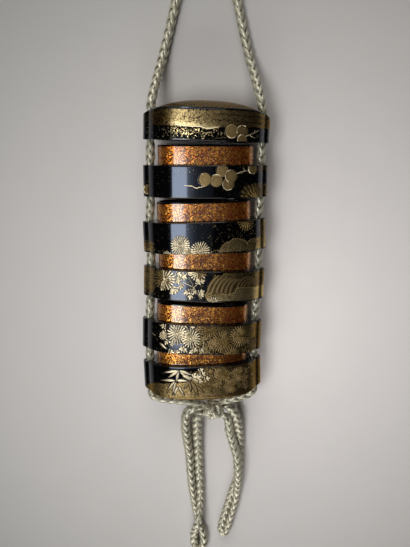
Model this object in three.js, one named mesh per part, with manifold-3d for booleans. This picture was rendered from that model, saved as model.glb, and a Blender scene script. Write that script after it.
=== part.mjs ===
// A five-case inro, spread out along its silk cord and lying on its back.
// Millimetres. +Y runs along the object towards the lid, +Z is up and the object rests on z = 0.
// Each section is first built upright about its own axis (x across, y front to back with the front
// at -y, z towards the lid) and is then laid down and moved to its place.
import * as THREE from 'three';
import { mergeVertices } from 'three/addons/utils/BufferGeometryUtils.js';
import Module from 'manifold-3d';

const wasm = await Module();
wasm.setup();
const { Manifold } = wasm;

// Cross-section of the outer wall: a lens with a half-round cord runner along each narrow side.
const LENS = { halfLength: 24.8, halfDepth: 12.45, power: 2.3 };
const RUNNER_X = 23.4;
const RUNNER_R = 3.4;
const CREASE_BLEND = 0.5;
const AXIS_HEIGHT = 12.15; // 0.3 less than the lens, which leaves a flat strip to rest on
const OUTLINE_DEGREES = [
  0, 2, 4, 5.5, 6.7, 7.6, 8.5, 10, 13, 17, 22, 28, 34, 41, 50, 60, 70, 80, 90,
];

// Riser, the recess that slides over it, and the compartment inside it.
const RISER = { halfLength: 20.4, halfDepth: 9.9, power: 2.8 };
const RECESS = { halfLength: 20.8, halfDepth: 10.25, power: 2.8 };
const COMPARTMENT = { halfLength: 19.1, halfDepth: 8.6, power: 2.8 };
const INNER_DEGREES = [0, 5, 10, 15, 20, 26, 33, 42, 53, 66, 78, 90];
const RISER_HEIGHT = 8.4;
const RECESS_DEPTH = 8.8;
const FLOOR = 1.8;

// Wall heights, and the crown of the lid and of the base.
const LID_WALL = 12.9;
const CASE_WALL = 13.4;
const BOTTOM_WALL = 14.8;
const CROWN = { height: 3.8, power: 2.5, dip: 2.1, dipStart: 18 };
const INNER_CROWN = { height: 2.3, power: 2.5, dip: 0, dipStart: 18 };
const CROWN_RINGS = [1, 0.94, 0.85, 0.72, 0.55, 0.3];
const CROWN_SKIN = 0.8; // how far the inner rim lies inside the outer rim

// Cord and its channels.
const CHANNEL_X = 23.7;
const CHANNEL_R = 1.87;
const CHANNEL_SIDES = 14;
const CHANNEL_OVERRUN = 10; // how far a channel's cut runs past both ends of a wall
const CORD_R = 1.55;
const SLACK_CORD_R = 2.1;
const CORD_SIDES = 8;

// Where each section lies: the middle of its wall, and its turn seen from above.
const PLACES = {
  lid: { x: 1.45, y: 55.75, turn: -2.2, wall: LID_WALL },
  first_case: { x: 0.8, y: 32.8, turn: -0.5, wall: CASE_WALL },
  second_case: { x: 0.15, y: 9.4, turn: 1.1, wall: CASE_WALL },
  third_case: { x: -0.2, y: -11.5, turn: -2.2, wall: CASE_WALL },
  fourth_case: { x: -1.4, y: -35.3, turn: -1.9, wall: CASE_WALL },
  bottom_case: { x: -1.3, y: -54.8, turn: 1.3, wall: BOTTOM_WALL },
};

// The slack cord. Each point is the middle of the cord.
const TOP_LEFT = [
  [-21.6, 66.3, 11.7], [-20.3, 72, 9.4], [-18.7, 78.5, 5.8], [-16.8, 85.5, 2.9],
  [-14.5, 94, 1.7], [-10.8, 108, 1.6], [-6.6, 124, 1.6], [-2.6, 139, 1.6], [-0.6, 149, 1.6],
];
const TOP_END = [[0.2, 155.5, 1.6], [2.6, 158.4, 1.6], [5.1, 155.5, 1.6]];
const TOP_RIGHT = [
  [24.7, 64.6, 11.7], [23.6, 70.5, 9.4], [22.1, 77, 5.8], [20.3, 84.2, 2.9],
  [18.3, 92.7, 1.7], [14.8, 108, 1.6], [10.8, 124, 1.6], [7.2, 139, 1.6], [5.9, 149, 1.6],
];
const UNDER_LEFT = [[-25, -64.6, 12.1], [-22.6, -66.6, 12], [-16.5, -68, 12], [-8, -68.9, 11.6]];
const UNDER_RIGHT = [[22.2, -63.6, 12.1], [19.9, -65.6, 12], [14.5, -67.4, 12], [9, -69, 11.4]];
const KNOT = { middle: [3.8, -75, 8.2], half: [4.2, 4.1, 3.9], sides: 12, rings: 8 };
const LEFT_BOW = [
  [1.6, -74.8, 7.4], [-4.8, -74.2, 7.2], [-8.8, -77.6, 6.2], [-9.7, -84.4, 4.7], [-9, -93, 3.1],
  [-7.9, -102, 2.3], [-7.6, -110, 2.1], [-7, -118, 2.1], [-6.2, -124.4, 2.1], [-5.4, -130, 2.1],
  [-4.6, -135, 2.1], [-3.8, -139, 2.1], [-2.2, -142.8, 2.1], [-1.2, -148.2, 2.1],
  [-1.9, -152, 2.1], [-3.8, -154.6, 2.1], [-5.7, -152, 2.1], [-6.4, -148, 2.1],
  [-5.9, -143.4, 3.4], [-4.8, -138.8, 5.6], [-3.8, -135, 6.2], [-3.1, -130, 3.9],
  [-2.8, -124.4, 2.2], [-2.9, -118, 2.1], [-3.3, -110, 2.1], [-3.5, -102, 2.3], [-3.9, -93, 3.1],
  [-4.1, -84.4, 4.7], [-3.5, -78.8, 6.2], [1.6, -76.6, 7],
];
const RIGHT_BOW = [
  [6, -74.6, 7.6], [10.3, -73.6, 7.6], [13.6, -76.6, 6.8], [15.6, -83.3, 4.8], [16.6, -91.9, 2.7],
  [16.7, -101.3, 2.1], [16.5, -109.5, 2.1], [15.1, -116, 2.1], [13.1, -121.5, 2.1],
  [10.6, -129.9, 2.1], [8.6, -137.2, 2.1], [7.6, -142, 2.1], [8.8, -145, 2.1], [10.4, -142.8, 2.1],
  [11.8, -138, 2.1], [14, -130, 2.1], [15.5, -121.3, 3], [15.7, -114.6, 5.2], [15.6, -107.2, 6.1],
  [15.1, -100.2, 6], [13.2, -93.4, 5.2], [11.6, -86.9, 5.4], [10.6, -80.5, 6.4], [6.2, -76.8, 7],
];

const MATERIALS = {
  black_lacquer: { color: 0x0b0a0c, roughness: 0.2 },
  silk_braid: { color: 0x98927a, roughness: 0.7 },
};

function smoothLarger(a, b, blend) {
  const share = Math.max(blend - Math.abs(a - b), 0) / blend;
  return Math.max(a, b) + (share * share * blend) / 4;
}

function lensRadius(shape, angle) {
  const along = Math.abs(Math.cos(angle)) / shape.halfLength;
  const across = Math.abs(Math.sin(angle)) / shape.halfDepth;
  return (along ** shape.power + across ** shape.power) ** (-1 / shape.power);
}

function wallRadius(angle) {
  const lens = lensRadius(LENS, angle);
  const miss = RUNNER_X * Math.sin(angle);
  if (Math.abs(miss) >= RUNNER_R) {
    return lens;
  }
  const runner = RUNNER_X * Math.cos(angle) + Math.sqrt(RUNNER_R ** 2 - miss ** 2);
  return smoothLarger(lens, runner, CREASE_BLEND);
}

/** Outline points all the way round, from a radius in the first quarter. */
function outline(radiusAt, degrees) {
  const quarter = degrees.map((d) => {
    const angle = THREE.MathUtils.degToRad(d);
    const radius = radiusAt(angle);
    return [radius * Math.cos(angle), radius * Math.sin(angle)];
  });
  const inner = quarter.slice(1, -1);
  return [
    ...quarter,
    ...inner.toReversed().map(([x, y]) => [-x, y]),
    ...quarter.map(([x, y]) => [-x, -y]),
    ...inner.toReversed().map(([x, y]) => [x, -y]),
  ];
}

function wallOutline() {
  return outline(wallRadius, OUTLINE_DEGREES).map(([x, y]) => [x, Math.min(y, AXIS_HEIGHT)]);
}

function innerOutline(shape) {
  return outline((angle) => lensRadius(shape, angle), INNER_DEGREES);
}

/** A solid from a closed geometry. */
function solidFrom(geometry) {
  geometry.deleteAttribute('normal');
  geometry.deleteAttribute('uv');
  const merged = mergeVertices(geometry);
  const mesh = new wasm.Mesh({
    numProp: 3,
    vertProperties: new Float32Array(merged.getAttribute('position').array),
    triVerts: new Uint32Array(merged.getIndex().array),
  });
  return new Manifold(mesh);
}

/** One closed body from rings of points, each ring above the last, with a middle point at each end. */
function ringBody(rings, bottomMiddle, topMiddle) {
  const count = rings[0].length;
  const points = [...rings.flat(), bottomMiddle, topMiddle];
  const bottom = points.length - 2;
  const top = points.length - 1;
  const lastRing = (rings.length - 1) * count;
  const triangles = [];
  for (let i = 0; i < count; i += 1) {
    const next = (i + 1) % count;
    triangles.push(bottom, next, i);
    triangles.push(top, lastRing + i, lastRing + next);
    for (let ring = 0; ring < rings.length - 1; ring += 1) {
      const low = ring * count;
      const high = low + count;
      triangles.push(low + i, low + next, high + next);
      triangles.push(low + i, high + next, high + i);
    }
  }
  const geometry = new THREE.BufferGeometry();
  geometry.setAttribute('position', new THREE.Float32BufferAttribute(points.flat(), 3));
  geometry.setIndex(triangles);
  return solidFrom(geometry);
}

function prism(points, bottom, top) {
  const shape = new THREE.Shape(points.map(([x, y]) => new THREE.Vector2(x, y)));
  const geometry = new THREE.ExtrudeGeometry(shape, { depth: top - bottom, bevelEnabled: false });
  return solidFrom(geometry.translate(0, 0, bottom));
}

/** A prism whose top rises in the middle and dips at the two narrow sides. */
function crownedPrism(points, bottom, top, crown) {
  const reach = Math.max(...points.map(([x]) => x));
  const dipAt = (x) => {
    const share = Math.max(Math.abs(x) - crown.dipStart, 0) / (reach - crown.dipStart);
    return crown.dip * share ** 2;
  };
  const ringAt = (scale) => points.map(([x, y]) => {
    const rise = crown.height * (1 - scale ** crown.power);
    return [x * scale, y * scale, top + rise - dipAt(x) * scale ** 2];
  });
  const base = points.map(([x, y]) => [x, y, bottom]);
  return ringBody([base, ...CROWN_RINGS.map(ringAt)], [0, 0, bottom], [0, 0, top + crown.height]);
}

/** Turns a body end for end and keeps its back at the back. */
function endForEnd(body) {
  return body.rotate([0, 180, 0]);
}

function channels(wall) {
  const length = wall + 2 * CHANNEL_OVERRUN;
  const rod = new THREE.CylinderGeometry(CHANNEL_R, CHANNEL_R, length, CHANNEL_SIDES);
  const hole = solidFrom(rod.rotateX(Math.PI / 2));
  return hole.translate([CHANNEL_X, 0, 0]).add(hole.translate([-CHANNEL_X, 0, 0]));
}

function lidBody() {
  const half = LID_WALL / 2;
  const ceiling = half - CROWN_SKIN;
  const recessTop = RECESS_DEPTH - half;
  return crownedPrism(wallOutline(), -half, half, CROWN)
    .subtract(prism(innerOutline(RECESS), -half - 1, recessTop))
    .subtract(crownedPrism(innerOutline(COMPARTMENT), recessTop - 1, ceiling, INNER_CROWN))
    .subtract(channels(LID_WALL));
}

function caseBody() {
  const half = CASE_WALL / 2;
  const floorTop = RECESS_DEPTH + FLOOR - half;
  const rim = half + RISER_HEIGHT;
  return prism(wallOutline(), -half, half)
    .add(prism(innerOutline(RISER), 0, rim))
    .subtract(prism(innerOutline(COMPARTMENT), floorTop, rim + 1))
    .subtract(prism(innerOutline(RECESS), -half - 1, RECESS_DEPTH - half))
    .subtract(channels(CASE_WALL));
}

function bottomBody() {
  const half = BOTTOM_WALL / 2;
  const rim = half + RISER_HEIGHT;
  const shell = endForEnd(crownedPrism(wallOutline(), -half, half, CROWN));
  const hollow = endForEnd(
    crownedPrism(innerOutline(COMPARTMENT), -rim - 1, half - CROWN_SKIN, INNER_CROWN),
  );
  return shell
    .add(prism(innerOutline(RISER), 0, rim))
    .subtract(hollow)
    .subtract(channels(BOTTOM_WALL));
}

/** Lays an upright section on its back at its place. */
function layDown(body, place) {
  return body.rotate([-90, 0, 0])
    .rotate([0, 0, place.turn])
    .translate([place.x, place.y, AXIS_HEIGHT]);
}

/** A point of a side channel: side is -1 or 1, along is the distance from the wall's middle. */
function channelPoint(place, side, along) {
  return new THREE.Vector3(side * CHANNEL_X, along, 0)
    .applyAxisAngle(new THREE.Vector3(0, 0, 1), THREE.MathUtils.degToRad(place.turn))
    .add(new THREE.Vector3(place.x, place.y, AXIS_HEIGHT));
}

/** The cord's way through one side, from the lid down to the base. */
function sidePoints(side) {
  return Object.values(PLACES).flatMap((place) => [
    channelPoint(place, side, place.wall / 2),
    channelPoint(place, side, -place.wall / 2),
  ]);
}

/** A curve whose rings fall exactly on the given points. */
class Route extends THREE.Curve {
  constructor(points) {
    super();
    this.points = points;
  }

  getPoint(t) {
    const place = t * (this.points.length - 1);
    const start = Math.min(Math.floor(place), this.points.length - 2);
    return this.points[start].clone().lerp(this.points[start + 1], place - start);
  }

  getPointAt(u) {
    return this.getPoint(u);
  }

  getTangentAt(u) {
    const last = this.points.length - 1;
    const index = Math.round(u * last);
    const before = this.points[Math.max(index - 1, 0)];
    const after = this.points[Math.min(index + 1, last)];
    return after.clone().sub(before).normalize();
  }
}

function tube(points, radius) {
  const shape = new THREE.Shape();
  for (let i = 0; i < CORD_SIDES; i += 1) {
    const angle = (2 * Math.PI * (i + 0.5)) / CORD_SIDES;
    const [x, y] = [radius * Math.cos(angle), radius * Math.sin(angle)];
    if (i === 0) {
      shape.moveTo(x, y);
    } else {
      shape.lineTo(x, y);
    }
  }
  const route = new Route(points);
  return solidFrom(new THREE.ExtrudeGeometry(shape, {
    steps: points.length - 1,
    bevelEnabled: false,
    extrudePath: route,
  }));
}

function cordBody() {
  const vectors = (points) => points.map((point) => new THREE.Vector3(...point));
  const knotMiddle = new THREE.Vector3(...KNOT.middle);
  const mainRoute = [
    knotMiddle,
    ...vectors(UNDER_LEFT).toReversed(),
    ...sidePoints(-1).toReversed(),
    ...vectors(TOP_LEFT),
    ...vectors(TOP_END),
    ...vectors(TOP_RIGHT).toReversed(),
    ...sidePoints(1),
    ...vectors(UNDER_RIGHT),
    knotMiddle,
  ];
  const ball = new THREE.SphereGeometry(1, KNOT.sides, KNOT.rings);
  const knot = solidFrom(ball.scale(...KNOT.half).translate(...KNOT.middle));
  return tube(mainRoute, CORD_R)
    .add(tube(vectors(LEFT_BOW), SLACK_CORD_R))
    .add(tube(vectors(RIGHT_BOW), SLACK_CORD_R))
    .add(knot);
}

function meshOf(name, body, materialName) {
  const { vertProperties, triVerts } = body.getMesh();
  const geometry = new THREE.BufferGeometry();
  geometry.setAttribute('position', new THREE.BufferAttribute(vertProperties, 3));
  geometry.setIndex(new THREE.BufferAttribute(triVerts, 1));
  geometry.computeVertexNormals();
  const { color, roughness } = MATERIALS[materialName];
  const material = new THREE.MeshStandardMaterial({ name: materialName, color, roughness });
  const mesh = new THREE.Mesh(geometry, material);
  mesh.name = name;
  return mesh;
}

function build() {
  const group = new THREE.Group();
  const bodyFor = (name) => {
    if (name === 'lid') {
      return lidBody();
    }
    return name === 'bottom_case' ? bottomBody() : caseBody();
  };
  for (const [name, place] of Object.entries(PLACES)) {
    group.add(meshOf(name, layDown(bodyFor(name), place), 'black_lacquer'));
  }
  group.add(meshOf('silk_cord', cordBody(), 'silk_braid'));
  return group;
}

export default build();
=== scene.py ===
"""Looks of a five-case inro that lies drawn out along its silk cord.

Lengths are in millimetres in the shape code and become metres when a mesh is made. Each section is
built about its own middle: x across, y towards the lid, z out of the decorated front.
"""

import math

import bmesh
import bpy
import numpy as np
from mathutils import Matrix


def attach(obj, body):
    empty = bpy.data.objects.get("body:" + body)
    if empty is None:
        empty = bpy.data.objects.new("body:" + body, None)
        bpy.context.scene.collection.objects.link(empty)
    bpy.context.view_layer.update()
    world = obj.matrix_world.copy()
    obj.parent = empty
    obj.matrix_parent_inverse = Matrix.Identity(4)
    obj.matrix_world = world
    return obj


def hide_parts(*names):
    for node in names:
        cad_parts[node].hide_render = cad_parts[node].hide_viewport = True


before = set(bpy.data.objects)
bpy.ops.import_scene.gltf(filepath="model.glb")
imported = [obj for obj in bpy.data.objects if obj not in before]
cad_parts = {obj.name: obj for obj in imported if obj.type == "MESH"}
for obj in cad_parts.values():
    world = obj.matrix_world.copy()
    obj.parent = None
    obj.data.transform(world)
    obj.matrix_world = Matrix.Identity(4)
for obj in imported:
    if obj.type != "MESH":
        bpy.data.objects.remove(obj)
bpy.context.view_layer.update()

MM = 0.001
ROUND = 420  # points round a section
CAMERA_PLACE = (-0.0039, 0.0453, 0.2687)  # metres
CAMERA_TURN = (-11.76, -0.91, -0.65)  # degrees
CAMERA_LENS = 25.8
COOL = (0.96, 0.98, 1.0)
WARM = (1.0, 0.97, 0.95)
BLACKEST = (0.0008, 0.0008, 0.001, 1)

# Sizes of the sections. A cross-section has a half length, a half depth and a power.
LENS = (24.8, 12.45, 2.3)
RISER = (20.4, 9.9, 2.8)
RECESS = (20.8, 10.25, 2.8)
COMPARTMENT = (19.1, 8.6, 2.8)
RUNNER_X = 23.4  # the middle of the ridge down each side, which holds the cord's channel
RUNNER_R = 3.4
CREASE_BLEND = 0.5
AXIS_HEIGHT = 12.15  # a section's middle above the surface it rests on
RISER_HEIGHT = 8.4
RECESS_DEPTH = 8.8
FLOOR = 1.8
CROWN_HEIGHT = 3.8
CROWN_POWER = 2.5
CROWN_DIP = 2.1
CROWN_DIP_START = 18
WALL_REACH = 26.8
INNER_CROWN = 2.3
CROWN_SKIN = 0.8  # how far the inner rim lies inside the outer rim
EDGE = 0.35  # rounding of the outer edges
WALL_ROWS = 38
CHANNEL_X = 23.7
CHANNEL_R = 1.87
CHANNEL_SIDES = 36

CORD_D = 3.55
SLACK_CORD_D = 4.2  # in the bow
KNOT_CORD_D = 3.0
KNOT_PITCH = 9
KNOT_REACH = 3.35  # from the knot's middle to the middle of its cord
RESTING = 0.58  # lowest place of a cord's middle, as a share of its diameter
BRAID_STEP = 0.75
BRAID_START = -0.15  # the braid's turn where it starts
TURN_RUN = 400  # length of cord in which its braid slowly turns by one radian
STRAND_SIDES = 7
# Painted shade for the silk: added where a strand passes under another, and on the core that lies beneath
# the strands.
UNDER_PAINTED_SHADE = 0.08  # added to a strand's shade where it passes under
CORE_PAINTED_SHADE = 0.3

# Shares of the braid's diameter.
STRAND_SWING = 0.06
STRAND_HALF_DEPTH = 0.12
STRAND_HALF_WIDTH = 0.23
CORE_RADIUS = 0.34

# Name: x, y, turn in degrees and wall height.
PLACES = {
    "lid": (1.45, 55.75, -2.2, 12.9),
    "first_case": (0.8, 32.8, -0.5, 13.4),
    "second_case": (0.15, 9.4, 1.1, 13.4),
    "third_case": (-0.2, -11.5, -2.2, 13.4),
    "fourth_case": (-1.4, -35.3, -1.9, 13.4),
    "bottom_case": (-1.3, -54.8, 1.3, 14.8),
}

# --- camera


def make_camera():
    data = bpy.data.cameras.new("camera")
    data.sensor_fit = "VERTICAL"
    data.sensor_height = 24
    data.lens = CAMERA_LENS
    data.clip_start = 0.01
    camera = bpy.data.objects.new("camera", data)
    camera.location = CAMERA_PLACE
    camera.rotation_mode = "ZYX"
    camera.rotation_euler = [math.radians(a) for a in CAMERA_TURN]
    bpy.context.collection.objects.link(camera)
    bpy.context.scene.camera = camera


make_camera()

# --- materials


class Shader:
    """A material's node tree, with short calls for the nodes that this scene uses."""

    def __init__(self, name, **inputs):
        self.material = bpy.data.materials.new(name)
        self.material.use_nodes = True
        self.tree = self.material.node_tree
        self.surface = self.tree.nodes["Principled BSDF"]
        for key, value in inputs.items():
            self.surface.inputs[key.replace("_", " ")].default_value = value

    def node(self, kind, output, settings=None, **inputs):
        made = self.tree.nodes.new("ShaderNode" + kind)
        for key, value in (settings or {}).items():
            setattr(made, key, value)
        for key, value in inputs.items():
            self.feed(made.inputs[int(key[1:]) if key[1:].isdigit() else key.replace("_", " ")], value)
        return made.outputs[output]

    def feed(self, socket, value):
        if isinstance(value, bpy.types.NodeSocket):
            self.tree.links.new(value, socket)
        else:
            socket.default_value = value

    def set(self, name, value):
        self.feed(self.surface.inputs[name], value)

    def attribute(self, name):
        return self.node("Attribute", 2, {"attribute_name": name})

    def place(self):
        return self.node("TexCoord", 3)

    def math(self, operation, a, b, clamp=False):
        return self.node("Math", 0, {"operation": operation, "use_clamp": clamp}, i0=a, i1=b)

    def vector(self, operation, a, b, output=0):
        return self.node("VectorMath", output, {"operation": operation}, i0=a, i1=b)

    def facing(self):
        return self.node("NewGeometry", 1)

    def mix(self, share, a, b):
        """Colour between a and b."""
        return self.node("Mix", 2, {"data_type": "RGBA"}, i0=share, i6=a, i7=b)

    def blend(self, share, a, b):
        """Number between a and b."""
        return self.node("Mix", 0, {"data_type": "FLOAT"}, i0=share, i2=a, i3=b)

    def noise(self, scale, detail, roughness=0.5, at=None):
        return self.node("TexNoise", 0, None, Vector=at or self.place(), Scale=scale,
                         Detail=detail, Roughness=roughness)

    def cells(self, scale, output=1):
        return self.node("TexVoronoi", output, None, Vector=self.place(), Scale=scale)

    def split(self, colour, channel):
        return self.node("SeparateColor", channel, None, Color=colour)

    def ramp(self, value, low, high, a=0.0, b=1.0):
        return self.node("MapRange", 0, {"clamp": True}, i0=value, i1=low, i2=high, i3=a, i4=b)

    def bump(self, height, distance):
        self.set("Normal", self.node("Bump", 0, None, Height=height, Distance=distance, Strength=0.5))


def floor_material():
    """Pale cloth, with a painted pool of light: bright near the object, painted grey further away."""
    s = Shader("pale_floor_painted_light", Roughness=0.85, Specular_IOR_Level=0.2)
    away = s.vector("DISTANCE", s.place(), (0.04, -0.035, 0.0), 1)
    plain = s.mix(s.noise(60, 3), (0.86, 0.815, 0.79, 1), (0.9, 0.855, 0.83, 1))
    # Painted light: the floor's colour falls off from a bright pool near the object to grey further out.
    s.set("Base Color", s.mix(s.ramp(away, 0.02, 0.228), plain, (0.215, 0.222, 0.208, 1)))
    return s.material


def black_material():
    s = Shader("black_lacquer", Roughness=0.1)
    s.set("Base Color", s.mix(s.noise(900, 3), BLACKEST, (0.003, 0.0027, 0.003, 1)))
    return s.material


def tilted(s, cells, amount, level=(0.5, 0.5, 0.5)):
    """The surface's direction with every flake tipped a little its own way.

    level is the cell colour that stands for no tilt."""
    lean = s.vector("SUBTRACT", cells, level)
    lean = s.node("VectorMath", 0, {"operation": "SCALE"}, i0=lean, Scale=amount)
    return s.node("VectorMath", 0, {"operation": "NORMALIZE"}, i0=s.vector("ADD", s.facing(), lean))


def nashiji_material():
    """Gold flakes under clear amber lacquer."""
    s = Shader("nashiji", Coat_Weight=1.0, Coat_Roughness=0.13, Coat_IOR=1.62, Specular_IOR_Level=0.1)
    flakes = s.cells(3200)
    pick = s.split(flakes, 0)
    tint = s.split(flakes, 1)
    lacquer = s.mix(s.noise(300, 3), (0.06, 0.006, 0.001, 1), (0.12, 0.014, 0.002, 1))
    gold = s.mix(s.ramp(tint, 0.2, 1.0), (0.54, 0.11, 0.006, 1), (1.0, 0.56, 0.10, 1))
    shown = s.ramp(pick, 0.38, 0.43)
    s.set("Base Color", s.mix(shown, lacquer, gold))
    s.set("Metallic", shown)
    s.set("Roughness", s.blend(tint, 0.26, 0.42))
    s.set("Normal", tilted(s, flakes, 0.5, (0.61, 0.5, 0.5)))
    return s.material


def wall_material():
    """Black lacquer with gold sprinkled as thickly as the attribute "gold" says."""
    s = Shader("maki_e_ground", IOR=1.56)
    flakes = s.cells(3600)
    pick = s.split(flakes, 0)
    tint = s.split(flakes, 1)
    cloud = s.ramp(s.noise(260, 3, 0.6), 0.3, 0.7, -0.12, 0.12)
    amount = s.math("ADD", s.attribute("gold"), s.math("MULTIPLY", cloud, s.attribute("gold")))
    shown = s.ramp(s.math("SUBTRACT", amount, pick), -0.02, 0.04)
    own = s.math("MULTIPLY", s.math("SUBTRACT", tint, 0.5), 0.35)
    bright = s.math("ADD", s.attribute("tone"), own, True)
    gold = s.mix(bright, (0.12, 0.064, 0.013, 1), (0.90, 0.72, 0.36, 1))
    s.set("Base Color", s.mix(shown, BLACKEST, gold))
    s.set("Specular Tint", s.mix(shown, (0.66, 0.77, 1.0, 1), (0.62, 0.5, 0.34, 1)))
    s.set("Metallic", shown)
    s.set("Roughness", s.blend(shown, 0.09, s.blend(tint, 0.28, 0.4)))
    tipped = tilted(s, flakes, 0.22)
    s.set("Normal", s.node("Mix", 1, {"data_type": "VECTOR"}, i0=shown, i4=s.facing(), i5=tipped))
    return s.material


def relief_material(name, dark, bright, roughness):
    """Raised gold whose lowest parts are painted dark: painted shade at the foot of each form and between
    forms.
    """
    s = Shader(name, Metallic=1.0)
    powder = s.noise(7000, 2)
    patch = s.noise(500, 3)
    gold = s.mix(s.blend(0.5, powder, patch), dark, bright)
    # Painted shade: where a form is lowest, at its foot and in the gaps between forms, its gold turns almost
    # black.
    s.set("Base Color", s.mix(s.ramp(s.attribute("raised"), 0.05, 0.17), (0.03, 0.02, 0.012, 1), gold))
    s.set("Roughness", s.blend(powder, roughness - 0.08, roughness + 0.12))
    s.bump(powder, 0.00002)
    return s.material


def bed_material():
    """Thin dark lacquer between and round raised forms, with a little gold powder left in it. Over gold it
    is also painted shadow.
    """
    s = Shader("relief_bed_painted_shadow", Roughness=0.25)
    powder = s.ramp(s.cells(5200, 0), 0.1, 0.3)
    s.set("Base Color", s.mix(powder, (0.05, 0.033, 0.012, 1), (0.008, 0.006, 0.004, 1)))
    return s.material


def silk_material(name, dark, bright, shade):
    """Glossy floss from dark to bright, with shade as its colour deep between the strands: painted shade,
    with some grime, in the furrows.
    """
    s = Shader(name, Metallic=0.3, Specular_IOR_Level=0.7)
    lines = s.node("CombineXYZ", 0, None, X=s.math("MULTIPLY", s.attribute("around"), 9.0),
                   Y=s.math("MULTIPLY", s.attribute("along"), 0.35), Z=0.0)
    fibres = s.noise(1.6, 3.0, at=lines)
    floss = s.mix(s.ramp(fibres, 0.3, 0.7), dark, bright)
    # Painted shade, with some grime: the sides of each strand, strands where they pass under, and the core
    # turn to the shade colour.
    furrow = s.ramp(s.attribute("around"), 0.14, 0.34)
    s.set("Base Color", s.mix(furrow, floss, shade))
    s.set("Roughness", s.ramp(fibres, 0.3, 0.7, 0.36, 0.24))
    s.bump(fibres, 0.0002)
    return s.material


FLOOR_LOOK = floor_material()
BLACK = black_material()
WALL = wall_material()
NASHIJI = nashiji_material()
# The three raised golds are partly golds of the design and partly lit and shaded copies of one gold: painted
# light and shade, with the darker ones on forms and sides away from the window.
GOLD = relief_material("raised_gold", (0.58, 0.47, 0.27, 1), (1.0, 0.88, 0.62, 1), 0.33)
SOFT_AND_SHADED_GOLD = relief_material("raised_soft_and_shaded_gold", (0.24, 0.165, 0.07, 1), (0.38, 0.27, 0.12, 1), 0.5)
DULL_AND_SHADED_GOLD = relief_material("raised_dull_and_shaded_gold", (0.12, 0.08, 0.024, 1), (0.30, 0.205, 0.075, 1), 0.42)
SHADOW_BED_LOOK = bed_material()
SILK = silk_material("silk_braid", (0.33, 0.31, 0.21, 1), (0.69, 0.655, 0.51, 1),
                     (0.07, 0.065, 0.04, 1))
# A brighter copy of the same silk for the ball knot, with lighter furrows: painted light.
KNOT_SILK_PAINTED_LIGHT = silk_material("silk_knot_painted_light", (0.45, 0.425, 0.30, 1), (0.80, 0.76, 0.6, 1),
                          (0.3, 0.28, 0.19, 1))

# --- meshes


def make_object(name, points, faces, materials, parts=None, sharp=40):
    """A smooth-shaded object in metres. parts holds each face's material number."""
    mesh = bpy.data.meshes.new(name)
    mesh.from_pydata((np.asarray(points) * MM).tolist(), [], faces)
    for material in materials:
        mesh.materials.append(material)
    if parts is not None:
        mesh.polygons.foreach_set("material_index", np.asarray(parts, np.int32))
    obj = bpy.data.objects.new(name, mesh)
    bpy.context.collection.objects.link(obj)
    finish_mesh(mesh, sharp)
    return obj


def finish_mesh(mesh, sharp):
    form = bmesh.new()
    form.from_mesh(mesh)
    bmesh.ops.recalc_face_normals(form, faces=form.faces)
    limit = math.radians(sharp)
    for face in form.faces:
        face.smooth = True
    for edge in form.edges:
        edge.smooth = edge.calc_face_angle(0) < limit
    form.to_mesh(mesh)
    form.free()


def hand_over(obj, node):
    """Hangs the piece on the root body and hides the node of the frame that it replaces."""
    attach(obj, "root")
    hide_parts(node)


def unit(v):
    return v / np.linalg.norm(v, axis=-1, keepdims=True)


def run_along(line):
    """Distance along a line at each of its points."""
    return np.concatenate([[0], np.cumsum(np.linalg.norm(np.diff(line, axis=0), axis=1))])


def on_rays(radius, angle):
    return np.column_stack([radius * np.cos(angle), radius * np.sin(angle)])


def whole_turn(count):
    return np.arange(count) * 2 * math.pi / count


def band_faces(rows, size):
    """Four-sided faces between rings of points that follow one another."""
    base = (np.arange(rows - 1)[:, None] * size + np.arange(size)).ravel()
    after = (np.arange(rows - 1)[:, None] * size + (np.arange(size) + 1) % size).ravel()
    return np.column_stack([base, after, after + size, base + size]).tolist()


def end_faces(rows, size):
    """Fans that close the first and last ring, round the two points that follow the rings."""
    last = (rows - 1) * size
    faces = []
    for k in range(size):
        after = (k + 1) % size
        faces.append([rows * size, after, k])
        faces.append([rows * size + 1, last + k, last + after])
    return faces


def add_attribute(mesh, name, values):
    layer = mesh.attributes.new(name, "FLOAT", "POINT")
    layer.data.foreach_set("value", np.asarray(values, np.float32))


# --- cord


def between(a, b, start, end, t):
    return a * (end - t) / (end - start) + b * (t - start) / (end - start)


def smooth_path(points, step):
    """Evenly spaced points on a centripetal Catmull-Rom curve through the given points."""
    p = np.asarray(points, float)
    p = np.vstack([2 * p[0] - p[1], p, 2 * p[-1] - p[-2]])
    found = []
    for a, b, c, d in zip(p, p[1:], p[2:], p[3:]):
        t1 = np.linalg.norm(b - a) ** 0.5
        t2 = t1 + np.linalg.norm(c - b) ** 0.5
        t3 = t2 + np.linalg.norm(d - c) ** 0.5
        t = np.linspace(t1, t2, 24, endpoint=False)[:, None]
        ab, bc, cd = between(a, b, 0, t1, t), between(b, c, t1, t2, t), between(c, d, t2, t3, t)
        abc, bcd = between(ab, bc, 0, t2, t), between(bc, cd, t1, t3, t)
        found.append(between(abc, bcd, t1, t2, t))
    line = np.vstack(found + [p[-2][None]])
    run = run_along(line)
    count = max(int(run[-1] / step), 8)
    even = np.linspace(0, run[-1], count + 1)
    return np.column_stack([np.interp(even, run, line[:, k]) for k in range(3)]), even


def travel_frames(path):
    """Two directions across the path that turn as little as they can along it."""
    tangents = unit(np.gradient(path, axis=0))
    first = np.cross(tangents[0], (0, 0, 1))
    first = unit(first if np.linalg.norm(first) > 0.1 else np.cross(tangents[0], (0, 1, 0)))
    across = [first]
    for tangent in tangents[1:]:
        moved = across[-1] - tangent * np.dot(across[-1], tangent)
        across.append(unit(moved))
    across = np.array(across)
    return across, np.cross(tangents, across)


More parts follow.
